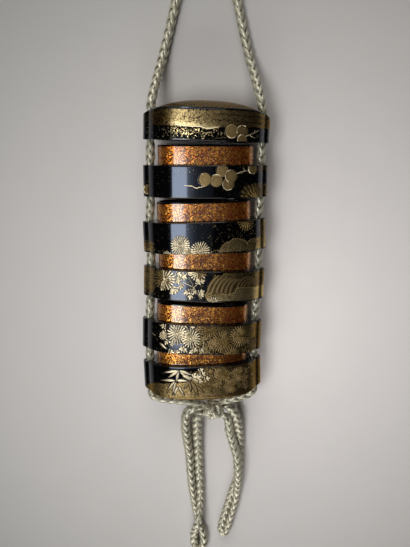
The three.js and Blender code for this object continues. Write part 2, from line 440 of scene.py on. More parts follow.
def tube_mesh(centres, side, out, half_width, half_depth):
    """Points and faces of one closed tube with an oval section."""
    count = len(centres)
    turn = whole_turn(STRAND_SIDES)
    wide = np.outer(half_width, np.cos(turn))[..., None]
    deep = np.outer(half_depth, np.sin(turn))[..., None]
    rings = centres[:, None] + side[:, None] * wide + out[:, None] * deep
    points = np.vstack([rings.reshape(-1, 3), centres[:1], centres[-1:]])
    return points, band_faces(count, STRAND_SIDES) + end_faces(count, STRAND_SIDES)


def strand_tubes(path, run, girth, pitch):
    """Each strand's points, faces and painted shade for its depth in the braid, and last its core's."""
    across, up = travel_frames(path)
    middle = girth * (0.5 - STRAND_SWING - STRAND_HALF_DEPTH)
    phi = 2 * math.pi * run / pitch
    for way in (1, -1):
        for k in range(4):
            angle = way * phi + k * math.pi / 2
            over = way * np.cos(2 * angle)
            turn = angle + (BRAID_START + run / TURN_RUN)
            out = across * np.cos(turn)[:, None] + up * np.sin(turn)[:, None]
            centres = path + out * (middle + STRAND_SWING * girth * over)[:, None]
            tangent = unit(np.gradient(centres, axis=0))
            side = unit(np.cross(tangent, out))
            yield *tube_mesh(centres, side, np.cross(side, tangent), STRAND_HALF_WIDTH * girth,
                             STRAND_HALF_DEPTH * girth), UNDER_PAINTED_SHADE * (1 - over)
    core = CORE_RADIUS * girth
    yield *tube_mesh(path, across, up, core, core), np.full(len(run), CORE_PAINTED_SHADE)


def braid(name, route, diameter, pitch, girth_at, silk=SILK):
    """A round braid of eight floss strands: four turn one way and four the other, over two, under two.

    girth_at gives the braid's thickness at each point of its path as a share of diameter."""
    path, run = smooth_path(route, BRAID_STEP)
    points, faces, around, along = [], [], [], []
    from_top = np.arange(STRAND_SIDES) / STRAND_SIDES - 0.25
    from_top = np.minimum(np.abs(from_top), 1 - np.abs(from_top))
    for part, part_faces, depth in strand_tubes(path, run, diameter * girth_at(path), pitch):
        start = sum(len(p) for p in points)
        points.append(part)
        faces.extend([[start + i for i in face] for face in part_faces])
        # depth darkens the silk here: painted shade for strands lying deeper in the braid.
        around += [(from_top + depth[:, None]).ravel(), [0.5, 0.5]]
        along += [np.repeat(run, STRAND_SIDES), [0, run[-1]]]
    obj = make_object(name, np.vstack(points), faces, [silk], sharp=80)
    add_attribute(obj.data, "around", np.concatenate(around))
    add_attribute(obj.data, "along", np.concatenate(along))
    hand_over(obj, "silk_cord")
    return obj, path, run[-1]


def channel_point(name, side, along):
    x, y, turn, _ = PLACES[name]
    c, s = math.cos(math.radians(turn)), math.sin(math.radians(turn))
    return (x + side * CHANNEL_X * c - along * s, y + side * CHANNEL_X * s + along * c, AXIS_HEIGHT)


def side_route(side):
    """The cord's way through the channels of one side, from the lid down to the base."""
    return [channel_point(name, side, end * place[3] / 2)
            for name, place in PLACES.items() for end in (1, 0, -1)]


TOP_LEFT = [
    (-21.6, 66.3, 11.7), (-20.3, 72, 9.4), (-18.7, 78.5, 5.8), (-16.8, 85.5, 2.9),
    (-14.5, 94, 1.7), (-10.8, 108, 1.6), (-6.6, 124, 1.6), (-2.6, 139, 1.6), (-0.6, 149, 1.6),
]
TOP_END = [(0.2, 155.5, 1.6), (2.6, 158.4, 1.6), (5.1, 155.5, 1.6)]
TOP_RIGHT = [
    (24.7, 64.6, 11.7), (23.6, 70.5, 9.4), (22.1, 77, 5.8), (20.3, 84.2, 2.9),
    (18.3, 92.7, 1.7), (14.8, 108, 1.6), (10.8, 124, 1.6), (7.2, 139, 1.6), (5.9, 149, 1.6),
]
UNDER_LEFT = [(-25, -64.6, 12.1), (-22.6, -66.6, 12), (-16.5, -68, 12), (-8, -68.9, 11.6)]
UNDER_RIGHT = [(22.2, -63.6, 12.1), (19.9, -65.6, 12), (14.5, -67.4, 12), (9, -69, 11.4)]
KNOT_MIDDLE = (3.8, -75, 8.2)
INTO_KNOT_LEFT = (-1.6, -71.6, 8.8)
INTO_KNOT_RIGHT = (6.6, -71.8, 8.8)
LEFT_BOW = [
    (1.6, -74.8, 7.4), (-4.8, -74.2, 7.2), (-8.8, -77.6, 6.2), (-9.7, -84.4, 4.7), (-9, -93, 3.1),
    (-7.9, -102, 2.3), (-7.6, -110, 2.1), (-7, -118, 2.1), (-6.2, -124.4, 2.1), (-5.4, -130, 2.1),
    (-4.6, -135, 2.1), (-3.8, -139, 2.1), (-2.2, -142.8, 2.1), (-1.2, -148.2, 2.1),
    (-1.9, -152, 2.1), (-3.8, -154.6, 2.1), (-5.7, -152, 2.1), (-6.4, -148, 2.1),
    (-5.9, -143.4, 3.4), (-4.8, -138.8, 5.6), (-3.8, -135, 6.2), (-3.1, -130, 3.9),
    (-2.8, -124.4, 2.2), (-2.9, -118, 2.1), (-3.3, -110, 2.1), (-3.5, -102, 2.3), (-3.9, -93, 3.1),
    (-4.1, -84.4, 4.7), (-3.5, -78.8, 6.2), (1.6, -76.6, 7),
]
RIGHT_BOW = [
    (6, -74.6, 7.6), (10.3, -73.6, 7.6), (13.6, -76.6, 6.8), (15.6, -83.3, 4.8), (16.6, -91.9, 2.7),
    (16.7, -101.3, 2.1), (16.5, -109.5, 2.1), (15.1, -116, 2.1), (13.1, -121.5, 2.1),
    (10.6, -129.9, 2.1), (8.6, -137.2, 2.1), (7.6, -142, 2.1), (8.8, -145, 2.1), (10.4, -142.8, 2.1),
    (11.8, -138, 2.1), (14, -130, 2.1), (15.5, -121.3, 3), (15.7, -114.6, 5.2), (15.6, -107.2, 6.1),
    (15.1, -100.2, 6), (13.2, -93.4, 5.2), (11.6, -86.9, 5.4), (10.6, -80.5, 6.4), (6.2, -76.8, 7),
]


def metres(point):
    return tuple(float(v) * MM for v in point)


def ball_knot(radius):
    """A woven ball: five turns round the x axis that cross over and under one another."""
    t = np.linspace(0, 2 * math.pi, 260)
    turn = 5 * t
    tilt = 1.15 * np.sin(4 * t)
    reach = radius + 0.35 * np.sin(16 * t)
    ball = np.column_stack([1.12 * np.sin(tilt), on_rays(np.cos(tilt), turn)])
    return np.array(KNOT_MIDDLE) + ball * reach[:, None]


def in_knot(path):
    """Cords are drawn tight where they enter the knot."""
    away = np.linalg.norm(path - np.array(KNOT_MIDDLE), axis=1)
    return np.interp(away, (4.2, 9), (0.4, 1))


def main_girth(path):
    """Squeezed inside the sections and fuller where the cord is free."""
    past = [np.abs(path[:, 1] - y) - wall / 2 for _, y, _, wall in PLACES.values()]
    return (1 + 0.2 * np.clip(np.min(past, axis=0) / 2, 0, 1)) * in_knot(path)


def bow_girth(path):
    """Loose near the knot, tighter towards the end and looser again in the end loop."""
    along_bow = np.interp(path[:, 1], (-150, -143, -134, -122, -104, -87, -80),
                          (1.06, 1.02, 0.92, 0.98, 1.12, 1.2, 1.14))
    return along_bow * in_knot(path)


def knot_girth(path):
    return np.ones(len(path))


def make_cords():
    main_route = [KNOT_MIDDLE, INTO_KNOT_LEFT, *UNDER_LEFT[::-1], *side_route(-1)[::-1], *TOP_LEFT,
                  *TOP_END, *TOP_RIGHT[::-1], *side_route(1), *UNDER_RIGHT, INTO_KNOT_RIGHT, KNOT_MIDDLE]
    knot_pieces = [braid(name, ball_knot(reach), KNOT_CORD_D, KNOT_PITCH, knot_girth, KNOT_SILK_PAINTED_LIGHT)[0]
                   for name, reach in (("bow_knot", KNOT_REACH), ("bow_knot_heart", KNOT_REACH / 2))]
    for name, route, diameter, pitch, lay, girth_at in (
        ("silk_cord_main", main_route, CORD_D, 17, "taut", main_girth),
        ("silk_bow_left", LEFT_BOW, SLACK_CORD_D, 15, "loose", bow_girth),
        ("silk_bow_right", RIGHT_BOW, SLACK_CORD_D, 14, "loose", bow_girth),
    ):
        resting = [(x, y, max(z, diameter * RESTING)) for x, y, z in route]
        obj, path, length = braid(name, resting, diameter, pitch, girth_at)
        metres(path[0])
        [metres(p) for p in path[::4]]


make_cords()

# --- sections


def lens_radius(shape, angle):
    half_length, half_depth, power = shape
    along = np.abs(np.cos(angle)) / half_length
    across = np.abs(np.sin(angle)) / half_depth
    return (along**power + across**power) ** (-1 / power)


def wall_radius(angle):
    lens = lens_radius(LENS, angle)
    miss = RUNNER_X * np.sin(angle)
    runner = RUNNER_X * np.abs(np.cos(angle)) + np.sqrt(np.maximum(RUNNER_R**2 - miss**2, 0))
    runner = np.where(np.abs(miss) < RUNNER_R, runner, 0)
    share = np.maximum(CREASE_BLEND - np.abs(lens - runner), 0) / CREASE_BLEND
    return np.maximum(lens, runner) + share**2 * CREASE_BLEND / 4


def even_angles():
    """Angles that space the points evenly round the wall."""
    fine = np.linspace(0, 2 * math.pi, 7201)
    run = run_along(on_rays(wall_radius(fine), fine))
    return np.interp(np.arange(ROUND) / ROUND * run[-1], run, fine)


ANGLES = even_angles()


def outline(shape):
    """Points (x, z) round a cross-section, and their outward directions."""
    line = on_rays(wall_radius(ANGLES) if shape == "wall" else lens_radius(shape, ANGLES), ANGLES)
    if shape == "wall":
        line[:, 1] = np.maximum(line[:, 1], -AXIS_HEIGHT)
    run = np.roll(line, -1, 0) - np.roll(line, 1, 0)
    return line, unit(np.column_stack([run[:, 1], -run[:, 0]]))


OUTLINES = {"wall": outline("wall"), "riser": outline(RISER), "recess": outline(RECESS),
            "inside": outline(COMPARTMENT)}
SECTION_LOOKS = [BLACK, WALL, NASHIJI]
BLACK_PART, WALL_PART, NASHIJI_PART = range(3)


class Rings:
    """A closed body made of rings, from one middle point to another."""

    def __init__(self):
        self.rings = []
        self.parts = []

    def add(self, kind, inset, height, part=BLACK_PART, scale=1.0):
        """part is the material of the band from this ring to the next."""
        line, out = OUTLINES[kind]
        line = (line - out * inset) * scale
        height = np.broadcast_to(height, len(line))
        self.rings.append(np.column_stack([line[:, 0], height, line[:, 1]]))
        self.parts.append(part)

    def build(self, name):
        count = len(self.rings)
        first, last = self.rings[0].mean(0), self.rings[-1].mean(0)
        first[1], last[1] = self.rings[0][:, 1].max(), self.rings[-1][:, 1].max()
        points = np.vstack([*self.rings, first[None], last[None]])
        faces = band_faces(count, ROUND) + end_faces(count, ROUND)
        parts = np.repeat(self.parts[:-1], ROUND).tolist() + [self.parts[0], self.parts[-1]] * ROUND
        return make_object(name, points, faces, SECTION_LOOKS, parts)


def dip_at(x):
    """How far the rim of a crowned end dips at a distance across."""
    return CROWN_DIP * (np.maximum(np.abs(x) - CROWN_DIP_START, 0) / (WALL_REACH - CROWN_DIP_START)) ** 2


def rim_dip():
    return dip_at(OUTLINES["wall"][0][:, 0])


def edge(rings, kind, radius, face, outward, first, part=BLACK_PART):
    """Rounds the edge between a side and an end face at height face.

    outward is 1 where material lies inside the outline and -1 where it lies outside it. first is
    "side" or "face", whichever the rings come from."""
    up = np.sign(np.mean(face))
    steps = np.linspace(0, math.pi / 2, 5)
    for step in steps if first == "side" else steps[::-1]:
        inset = radius * (1 - math.cos(step)) * outward
        rings.add(kind, inset, face - up * radius * (1 - math.sin(step)), part)


def wall_rows(rings, low, high):
    for k in range(1, WALL_ROWS):
        rings.add("wall", 0, low + (high - low) * k / WALL_ROWS, WALL_PART)


def crown_rings(rings, top, inwards):
    """The crowned end, from its rim to its middle or back."""
    scales = [0.975, 0.95, 0.91, 0.86, 0.8, 0.73, 0.65, 0.56, 0.46, 0.35, 0.23, 0.1]
    for scale in scales if inwards else scales[::-1]:
        rise = CROWN_HEIGHT * (1 - scale**CROWN_POWER) - rim_dip() * scale**2
        rings.add("wall", 0, top + rise, WALL_PART, scale)


def inner_crown(rings, rim, sign):
    """The hollow under a crowned end. The lid's comes middle first, the base's rim first."""
    scales = [1.0, 0.97, 0.9, 0.8, 0.66, 0.5, 0.3, 0.1]
    for scale in scales[::-1] if sign > 0 else scales:
        rise = INNER_CROWN * (1 - scale**CROWN_POWER)
        rings.add("inside", 0, sign * (rim + rise), NASHIJI_PART, scale)


def recess_rings(rings, half):
    """From the shoulder of the recess down to the mouth and out to the wall's lower edge."""
    shoulder = RECESS_DEPTH - half
    for inset, drop in ((0.3, 0), (0.08, 0.08), (0, 0.3)):
        rings.add("recess", inset, shoulder - drop)
    edge(rings, "recess", 0.25, -half, -1, "side")
    edge(rings, "wall", EDGE, -half, 1, "face")


def riser_rings(rings, half):
    """From the wall's upper edge over the shelf and up the riser to its rim."""
    rim = half + RISER_HEIGHT
    edge(rings, "wall", EDGE, half, 1, "side")
    rings.add("riser", -0.35, half)
    rings.add("riser", -0.1, half + 0.1)
    rings.add("riser", 0, half + 0.35, NASHIJI_PART)
    rings.add("riser", 0, half + 0.5, NASHIJI_PART)
    rings.add("riser", 0, rim - 0.75)
    edge(rings, "riser", 0.3, rim, 1, "side")
    edge(rings, "inside", 0.25, rim, -1, "face")
    rings.add("inside", 0, rim - 0.8, NASHIJI_PART)


def case_form():
    half = PLACES["first_case"][3] / 2
    rings = Rings()
    rings.add("recess", 0, RECESS_DEPTH - half, scale=0.5)
    recess_rings(rings, half)
    wall_rows(rings, -half + EDGE, half - EDGE)
    riser_rings(rings, half)
    floor = RECESS_DEPTH + FLOOR - half
    for inset, rise in ((0, 0.8), (0.12, 0.3), (0.45, 0.05), (0.9, 0)):
        rings.add("inside", inset, floor + rise, NASHIJI_PART)
    rings.add("inside", 0, floor, NASHIJI_PART, 0.5)
    return rings


def lid_form():
    half = PLACES["lid"][3] / 2
    rings = Rings()
    inner_crown(rings, half - CROWN_SKIN, 1)
    rings.add("inside", 0, RECESS_DEPTH - half + 0.2, NASHIJI_PART)
    rings.add("inside", -0.15, RECESS_DEPTH - half)
    recess_rings(rings, half)
    top = half - rim_dip()
    wall_rows(rings, -half + EDGE, top - EDGE - 0.1)
    edge(rings, "wall", EDGE, top - 0.05, 1, "side", WALL_PART)
    crown_rings(rings, half, True)
    return rings


def bottom_form():
    half = PLACES["bottom_case"][3] / 2
    rings = Rings()
    crown_rings(rings, half, False)
    for ring in rings.rings:
        ring[:, 1] *= -1
    low = -(half - rim_dip())
    edge(rings, "wall", EDGE, low + 0.05, 1, "face", WALL_PART)
    wall_rows(rings, low + EDGE + 0.1, half - EDGE)
    riser_rings(rings, half)
    inner_crown(rings, half - CROWN_SKIN, -1)
    return rings


def drill_channels(obj, half):
    """Cuts the two cord channels, which flare a little at their mouths."""
    profile = [(CHANNEL_R + 0.35, half + 8), (CHANNEL_R + 0.35, half + 0.01),
               (CHANNEL_R + 0.1, half - 0.12), (CHANNEL_R, half - 0.4)]
    profile += [(r, -y) for r, y in profile[::-1]]
    turn = whole_turn(CHANNEL_SIDES)
    for side in (-1, 1):
        points = np.vstack([np.column_stack([side * CHANNEL_X + r * np.cos(turn), 0 * turn + y,
                                             r * np.sin(turn)]) for r, y in profile])
        faces = band_faces(len(profile), CHANNEL_SIDES)
        faces.append(list(range(CHANNEL_SIDES)))
        faces.append(list(range(len(points) - CHANNEL_SIDES, len(points)))[::-1])
        cutter = make_object("cutter", points, faces, SECTION_LOOKS)
        cut = obj.modifiers.new("channel", "BOOLEAN")
        cut.operation = "DIFFERENCE"
        cut.solver = "MANIFOLD"
        cut.object = cutter
        evaluated = obj.evaluated_get(bpy.context.evaluated_depsgraph_get())
        made = bpy.data.meshes.new_from_object(evaluated)
        obj.modifiers.clear()
        obj.data = made
        bpy.data.objects.remove(cutter)


# --- wall as a flat strip


def wall_table():
    """Places round the wall: distance u from the middle of the front, point and outward direction."""
    angle = np.radians(np.linspace(270, -90, 2881))  # from the middle of the back round to it again
    line = on_rays(wall_radius(angle), angle)
    line[:, 1] = np.maximum(line[:, 1], -AXIS_HEIGHT)
    run = run_along(line)
    ahead = np.roll(line[:-1], -1, 0) - np.roll(line[:-1], 1, 0)
    out = unit(np.column_stack([-ahead[:, 1], ahead[:, 0]]))
    return run - run[-1] / 2, line, np.vstack([out, out[:1]])


WALL_U, WALL_LINE, WALL_OUT = wall_table()
GIRTH = 2 * WALL_U[-1]
FRONT = slice(720, 2161)  # from the left end over the front to the right end


def u_at(x, front):
    """Distance round the wall to a place whose distance across is x."""
    if front:
        return float(np.interp(x, WALL_LINE[FRONT, 0], WALL_U[FRONT]))
    mirrored = -float(np.interp(x, WALL_LINE[FRONT, 0], WALL_U[FRONT]))
    return mirrored + math.copysign(GIRTH / 2, -mirrored)


def on_wall(flat):
    """Points in the section's frame for flat points (u, y, height)."""
    u = (flat[:, 0] + GIRTH / 2) % GIRTH - GIRTH / 2
    x, z = (np.interp(u, WALL_U, WALL_LINE[:, k]) for k in (0, 1))
    out = unit(np.column_stack([np.interp(u, WALL_U, WALL_OUT[:, k]) for k in (0, 1)]))
    return np.column_stack([x + out[:, 0] * flat[:, 2], flat[:, 1], z + out[:, 1] * flat[:, 2]])


# --- sprinkled gold


def bump_at(value, middle, width):
    return np.exp(-(((value - middle) / width) ** 2))


def step_at(value, width=0.3):
    """0 below nought and 1 above it, with a soft edge."""
    return np.clip(value / width + 0.5, 0, 1)


def lid_ground(x, y):
    """A bank of mist over the upper half, thick at its lower edge, with flecks falling from it."""
    low = np.interp(x, (-27, -14, -3, 0, 3, 6, 10, 27), (-0.4, -0.7, -1, -1.7, -1.3, -0.7, 0, -0.6))
    fill = np.interp(x, (-26, -22, -17, -13.5, -7, -3, 3, 6, 27),
                     (0.1, 0.4, 0.7, 0.88, 0.8, 0.72, 0.9, 1, 1))
    thick = bump_at(y, low + 0.7, 0.9) * np.interp(x, (-16, -14, 2, 5), (0, 1, 1, 0))
    slope = 0.04 * (x - 10)
    rift = (bump_at(y, 1.8 - slope, 0.25) + bump_at(y, 4.1 - slope, 0.3)) * step_at(x - 3, 4)
    falling = np.interp(x, (-19, -15, -8, -4, 8, 20), (0.01, 0.26, 0.24, 0.13, 0.1, 0.02))
    flecks = bump_at(y, -2.8, 2.2) * falling
    gold = np.maximum(step_at(y - low, 0.4) * np.maximum(fill, thick) * (1 - 0.75 * rift), flecks)
    # Painted light: the gold's tone along x is brightest where the window's highlight falls and darker to
    # either side of it.
    tone = np.interp(x, (-19, -16, -13, -5, 4, 27), (0, 0.1, 0.42, 0.34, 0.22, 0.16))
    return gold, tone + 0.5 * thick + 0.7 * step_at(-1.6 - y, 1)


def first_ground(x, y):
    gold = 0.02 * bump_at(x, -8, 5) * bump_at(y, 5, 2) + 0.35 * step_at(x - 15, 6) * step_at(y - 4, 3)
    return np.maximum(gold, 0.5 * step_at(x - 14 - 0.6 * (y + 6), 3) * step_at(-1 - y, 1.5)), 0.25 + 0 * x


def second_ground(x, y):
    """A starry sky on the right, rocks under it."""
    stars = 0.025 * step_at(x + 3, 10) + 0.03 * step_at(x - 12, 8) + 0.07 * step_at(-4.5 - y, 2)
    rocks = step_at(np.interp(x, ROCK_X, ROCK_Y) - y, 0.3) * step_at(x - 5.5, 0.5) * 0.9
    mist = 0.75 * step_at(-22 - x, 1.5) * step_at(-2 - y, 2) + 0.6 * step_at(x - 24, 1.5)
    return np.maximum(stars, np.maximum(rocks, mist)), 0.2 + 3 * stars


def third_ground(x, y):
    """Rocks and plain gold on the right, mist at the left runner."""
    edge = np.interp(y, (-7, -4, -2, 3, 5.3, 7), (2.5, 0.2, 0.8, 3.9, 7.3, 9))
    right = step_at(x - edge)
    left = 0.8 * step_at(-21.5 - x, 2) * step_at(y + 4.5, 4)
    plain = step_at(np.interp(x, (3, 8, 13, 14, 27), (-5, -3.2, -2.4, -0.4, -0.6)) - y)
    return np.maximum(np.maximum(right * (0.8 + 0.2 * plain), left), 0.04), 0.22 + 0.42 * plain * right


def fourth_ground(x, y):
    right = step_at(x - np.interp(y, (-7, 0, 7), (9, 5.5, 6.8)), 1.5)
    veil = 0.5 * bump_at(x, 2, 5) + 0.12 * bump_at(x, -8, 9)
    return np.maximum(right, veil), 0.2 - 0.04 * right


def bottom_ground(x, y):
    low = np.interp(x, (-27, -24.6, -21, -14, -8, -4.6, 0, 6), (-5.5, -3.2, -1.0, -0.4, 0.2, 3.0, 6, 9))
    veil = 0.45 * step_at(x + 6, 6) * step_at(5 - y, 2)
    return np.maximum(step_at(low - y, 0.4), veil), 0.12 + 0.06 * bump_at(y, -5, 3)


CROWN_GOLD = 0.64
BARE_ABOVE_RIM = 0.4
BARE_BELOW_RIM = 0.55
ROCK_X = (5.2, 7.3, 9.3, 10.2, 11.6, 14.0, 16.4, 18.1, 19.4, 21.5, 24)
ROCK_Y = (-6.5, -3.2, -1.8, -1.9, -0.8, -0.7, -1.4, -2.6, -1.7, -1.0, -1.2)
GROUNDS = dict(zip(PLACES, (lid_ground, first_ground, second_ground, third_ground, fourth_ground,
                            bottom_ground)))


def sprinkle(mesh, name):
    """Sets how thickly gold lies, and how bright it is, at every point of a section."""
    spots = np.empty(len(mesh.vertices) * 3)
    mesh.vertices.foreach_get("co", spots)
    x, y, z = spots.reshape(-1, 3).T / MM
    half = PLACES[name][3] / 2
    gold, tone = GROUNDS[name](x, y)
    behind = step_at(-z, 4)
    gold = gold * (1 - behind * 0.6 * (1 - np.abs(x) / 27))
    dip = dip_at(x)
    if name == "lid":
        over = y - (half - dip)
        crown = CROWN_GOLD * step_at(over - BARE_ABOVE_RIM, 0.25)
        gold = np.where(over > 0.02, crown, gold * step_at(-BARE_BELOW_RIM - over, 0.3))
        # Painted shade: the crown's gold gets a low tone for the dimmer light over the dome.
        tone = np.where(over > 0.02, 0.2, tone)
    if name == "bottom_case":
        gold = np.where(y < dip - half + 0.3, 0.97, gold)
    add_attribute(mesh, "gold", gold)
    add_attribute(mesh, "tone", tone)


# --- raised gold

ACROSS = np.array([-1, -0.55, 0, 0.55, 1])  # places across a stroke
ROOT = -0.08  # how far the relief's forms start under the wall's surface
RELIEF_MARGIN = 0.32  # bare edge of a wall
# DULL and SOFT mark duller golds, and also painted shade where a form lies away from the window.
BRIGHT, DULL, SOFT, SHADOW_BED = range(4)  # the relief's materials
LOBES = ((0, 0.3, 0.7, 0.34), (0.75, 0.3, 0.5, 0.27), (-0.75, 0.3, 0.5, 0.27), (1.5, 0.12, 0.4, 0.24),
         (-1.5, 0.12, 0.4, 0.24))  # a leaf's: lean, start, reach and width


def direction(angle):
    return np.array([math.cos(angle), math.sin(angle)])


class Relief:
    """Low closed forms drawn flat on a section's wall: u round it, y towards the lid, height out."""

    def __init__(self, name, seed):
        self.name = name
        self.half = PLACES[name][3] / 2
        self.random = np.random.default_rng(seed)
        self.points = []
        self.faces = []
        self.parts = []
        self.count = 0

    def shell(self, rings, part):
        """Joins rings of points into a closed form."""
        rows, size, _ = rings.shape
        start = self.count
        self.points.append(rings.reshape(-1, 3))
        self.count += rows * size
        new = [[start + i for i in face] for face in band_faces(rows, size)]
        new.append([start + i for i in range(size)][::-1])
        new.append([start + (rows - 1) * size + i for i in range(size)])
        self.faces += new
        self.parts += [part] * len(new)

    def strand(self, line, width, height, part, groove=0.0):
        """A raised stroke along a line of (u, y) points. width and height are one value or a list."""
        line = np.asarray(line, float)
        side = unit(np.gradient(line, axis=0)) @ np.array([[0, 1], [-1, 0]])
        width = np.broadcast_to(width, len(line)) / 2
        height = np.broadcast_to(height, len(line))
        profile = np.array([0.1, 0.8, 1 - groove, 0.8, 0.1])
        flat = line[:, None] + side[:, None] * width[:, None, None] * ACROSS[None, :, None]
        top = np.concatenate([flat, (height[:, None] * profile)[..., None]], 2)
        under = np.concatenate([line, np.full((len(line), 1), ROOT)], 1)[:, None]
        self.shell(np.concatenate([top, under], 1), part)

    def dome(self, middle, radius, height, part, lobes=0, size=32):
        """A raised disc, with an edge of so many waves where asked."""
        turn = whole_turn(size)
        wave = 1 + 0.12 * np.cos(lobes * turn) if lobes else np.ones(size)
        steps = [(0.97, ROOT), (1.0, 0.02), (0.95, height * 0.8), (0.86, height * 0.85),
                 (0.78, height * 0.85), (0.5, height), (0.2, height * 1.05)]
        self.shell(np.array([np.column_stack([middle + on_rays(radius * share * wave, turn),
                                              np.full(size, lift)]) for share, lift in steps]), part)

    def petal(self, middle, angle, start, end, width, height, part, slope=0.0):
        """slope is how much higher, as a share, the petal is where it starts."""
        share = np.array([0, 0.3, 0.6, 0.85, 0.96, 1.0])
        line = np.asarray(middle) + direction(angle) * (start + (end - start) * share)[:, None]
        self.strand(line, width * np.array([0.4, 0.65, 0.95, 1, 0.7, 0.25]),
                    height * np.array([0.6, 0.85, 1, 1, 0.8, 0.4]) * (1 + slope * (1 - share)), part, 0.1)

    def flower(self, x, y, radius, petals=20, part=BRIGHT, left=None, front=True):
        """A chrysanthemum seen from above: three rounds of petals and a button on a dark bed.

        left is the material of the petals that point to the left, where it differs: painted light and shade,
        a lighter copy of the gold where they face the window and a darker one where they turn from it."""
        middle = (u_at(x, front), y)
        # The dark bed under the petals: painted shadow between them as well as dark lacquer.
        self.dome(middle, radius * 0.93, 0.05, SHADOW_BED, size=20)
        first = self.random.uniform(0, 1)
        share = 0.5 if part == BRIGHT else 0.58
        rounds = ((petals, 0.5, 1.0, 0.2), (round(petals * 0.75), 0.26, 0.7, 0.31),
                  (petals // 2, 0.1, 0.38, 0.42))
        for count, start, end, height in rounds:
            wide = 2 * math.pi * radius * end / count
            for k in range(count):
                angle = (k + first) * 2 * math.pi / count
                reach = radius * end * self.random.uniform(0.92, 1.03)
                # Painted light and shade: the side of the flower a petal points to picks its material.
                side = 1 if left is None else math.cos(angle) + self.random.uniform(-0.9, 0.9)
                self.petal(middle, angle, radius * start, reach, wide * share, height,
                           part if side > 0.2 else left, 0.35)
        self.dome(middle, radius * 0.1, 0.42, part, size=12)

    def leaf(self, x, y, length, heading, part=BRIGHT, front=True):
        """A chrysanthemum leaf of five lobes. heading is in degrees from +x."""
        base = np.array([u_at(x, front), y])
        way = math.radians(heading)
        ahead = direction(way)
        # The dark bed under the leaf: painted shadow round it as well as dark lacquer.
        self.dome(base + 0.45 * length * ahead, 0.42 * length, 0.04, SHADOW_BED, lobes=5, size=20)
        for lean, start, reach, width in LOBES:
            self.petal(base + ahead * start * length, way + lean, 0, reach * length, width * length, 0.2,
                       part)
        self.strand([base, base + ahead * 0.3 * length, base + ahead * 0.62 * length],
                    [0.16, 0.14, 0.08], [0.2, 0.26, 0.22], part)

    def blade(self, x, y, length, heading, bend=0.12, width=1.15, part=BRIGHT, front=True):
        """A bamboo-grass blade: widest a third of the way along, with a midrib groove."""
        ahead = direction(math.radians(heading))
        side = np.array([-ahead[1], ahead[0]])
        share = np.linspace(0, 1, 9)
        line = (np.array([u_at(x, front), y]) + ahead * (length * share)[:, None]
                + side * (bend * length * share**2)[:, None])
        if length > 2:
            # A wider dark bed under a long blade: painted shadow that sets it off over gold.
            self.strand(line, width * np.sin(math.pi * np.linspace(0.12, 0.94, 9)) + 0.35, 0.045, SHADOW_BED)
        self.strand(line, width * np.array([0.2, 0.65, 0.95, 1, 0.9, 0.75, 0.55, 0.3, 0.05]),
                    0.2 * np.array([0.6, 1, 1, 1, 1, 1, 0.9, 0.7, 0.3]), part, 0.45)

    def line(self, points, width, height, part=BRIGHT, front=True):
        """A smooth stroke through points given as x and y."""
        flat = np.array([(u_at(x, front), y, 0) for x, y in points])
        path = smooth_path(flat, 0.5)[0][:, :2] if len(flat) > 2 else flat[:, :2]
        ends = np.minimum(np.linspace(0.4, 4, len(path)), np.linspace(4, 0.4, len(path)))
        self.strand(path, width * np.minimum(ends, 1), height, part)

    def pine(self, x, y, radius, front=True):
        """A pine's cushion of needles seen from above: a low disc, lit rim and faint inner line."""
        middle = (u_at(x, front), y)
        lift = self.random.uniform(0.14, 0.24)
        # The dark bed round the disc: painted shadow as well as a dark outline.
        self.dome(middle, radius * 1.1, 0.05, SHADOW_BED, size=24)
        self.dome(middle, radius, lift, SOFT)
        bend = self.random.uniform(-0.3, 0.3)
        # The bright rim strand runs only round the left side: a painted highlight on the side towards the
        # window.
        for share, spread, width, part in ((0.9, 0.42, 0.42, BRIGHT), (0.5, 0.5, 0.26, DULL)):
            turn = (np.linspace(1 - spread, 1 + spread, 31) + bend) * math.pi
            self.strand(middle + on_rays(radius * share, turn), width, lift + 0.14, part)

    def scatter(self, x_range, y_range, count, size, part=BRIGHT):
        """Short strokes in every direction."""
        for _ in range(count):
            x, y = self.random.uniform(*x_range), self.random.uniform(*y_range)
            self.blade(x, y, size * self.random.uniform(0.6, 1.3), self.random.uniform(0, 360),
                       0.1, size * 0.3, part)

    def engrave(self, x_range, y_range, count):
        """Low leaves over plain gold."""
        for _ in range(count):
            x, y = self.random.uniform(*x_range), self.random.uniform(*y_range)
            self.leaf(x, y, self.random.uniform(2.2, 3.4), self.random.uniform(0, 360),
                      self.random.choice([DULL, SOFT]))

